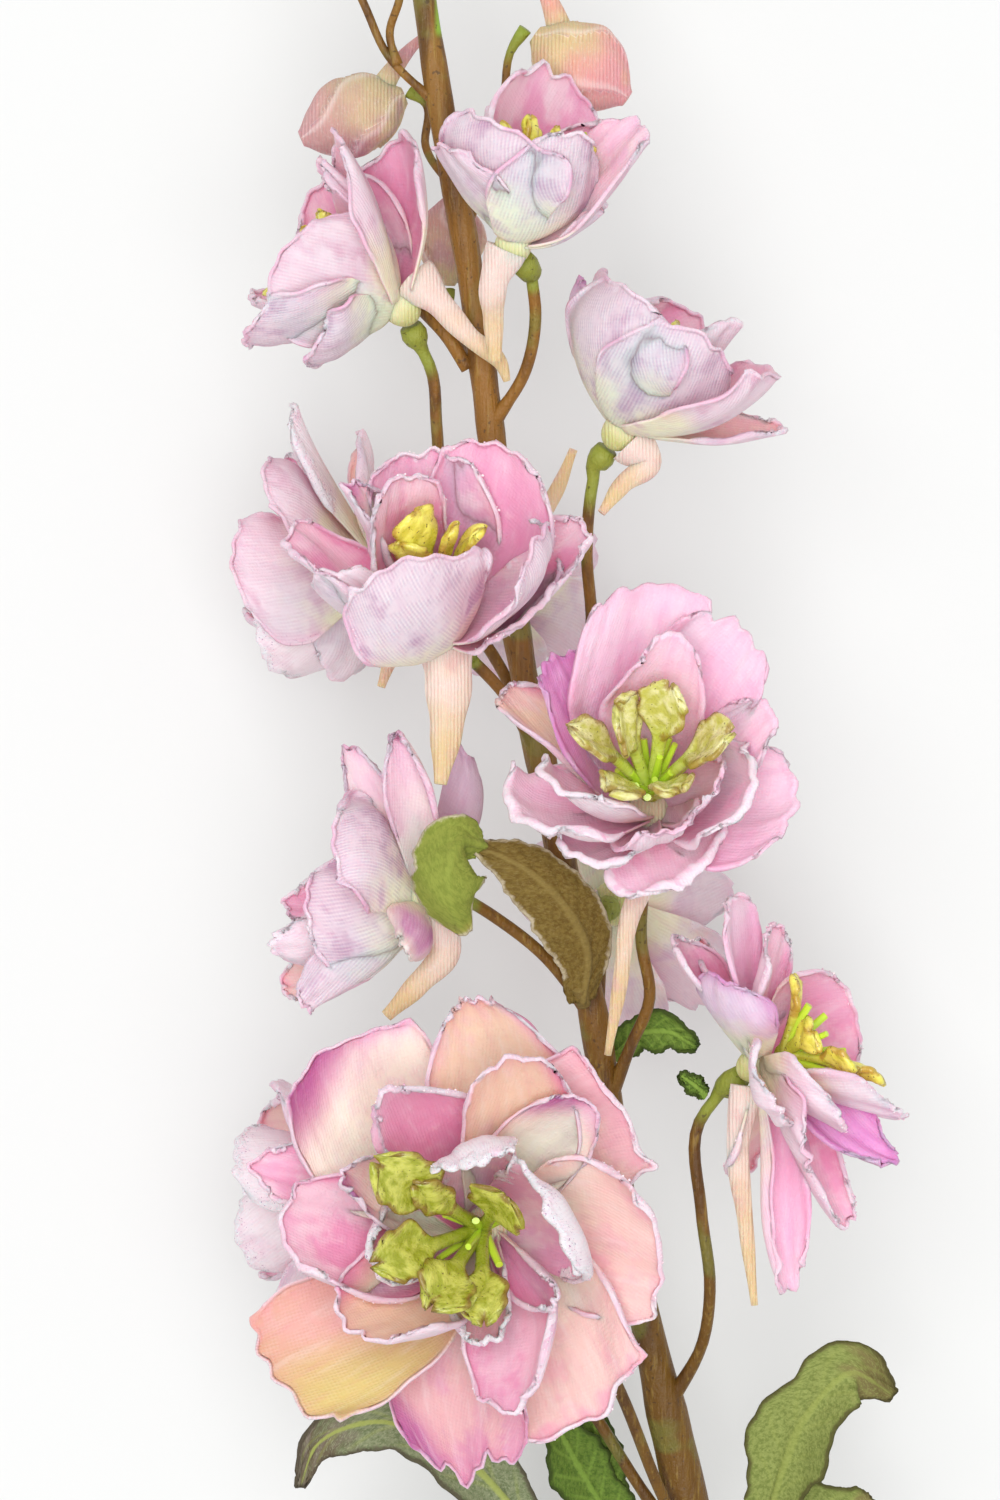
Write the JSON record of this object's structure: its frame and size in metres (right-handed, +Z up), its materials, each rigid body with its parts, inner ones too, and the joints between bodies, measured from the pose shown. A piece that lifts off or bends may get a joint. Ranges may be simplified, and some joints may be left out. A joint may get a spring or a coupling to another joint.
{
  "type": "delphinium flower spike",
  "caption": "Cut delphinium spike lying on its back: a slim stem with open spurred blooms in pink, lilac and peach, small buds at the tip and lobed leaves below.",
  "frame": {"origin": "centre of the bounding box in plan, on the surface that the spike lies on", "axes": "+Y along the spike towards its tip, +Z up, towards the side that the picture shows, +X to the right seen from above with the tip up"},
  "size_m": [0.104, 0.4649, 0.0841],
  "materials": {
    "petal": "matte, fine woven ribs",
    "stamen": "moulded, translucent gloss",
    "stem": "satin, moulded",
    "leaf": "matte, veined",
    "bud": "matte, folded"
  },
  "bodies": {
    "root": {"bloom_back_left": "petal", "bloom_front": "petal", "bloom_high_back": "petal", "bloom_left": "petal", "bloom_low_back": "petal", "bloom_low_left": "petal", "bloom_low_right": "petal", "bloom_middle": "petal", "bloom_right": "petal", "bloom_top_left": "petal", "bloom_top_right": "petal", "bloom_top_side": "petal", "bud_behind": "bud", "bud_branch": "bud", "bud_tip_01": "bud", "bud_tip_02": "bud", "bud_tip_03": "bud", "bud_tip_04": "bud", "bud_tip_05": "bud", "bud_tip_06": "bud", "bud_tip_07": "bud", "bud_tip_08": "bud", "bud_tip_09": "bud", "bud_tip_10": "bud", "bud_tip_11": "bud", "bud_tip_12": "bud", "bud_twig": "bud", "bud_upper_left": "bud", "bud_upper_right": "bud", "leaf_base": "leaf", "leaf_behind": "leaf", "leaf_bract": "leaf", "leaf_lower_left": "leaf", "leaf_lower_middle": "leaf", "leaf_lower_right": "leaf", "leaf_middle": "leaf", "stamens_back_left": "stamen", "stamens_front": "stamen", "stamens_high_back": "stamen", "stamens_left": "stamen", "stamens_low_back": "stamen", "stamens_low_left": "stamen", "stamens_low_right": "stamen", "stamens_middle": "stamen", "stamens_right": "stamen", "stamens_top_left": "stamen", "stamens_top_right": "stamen", "stamens_top_side": "stamen", "stem": "stem"}
  },
  "joints": []
}
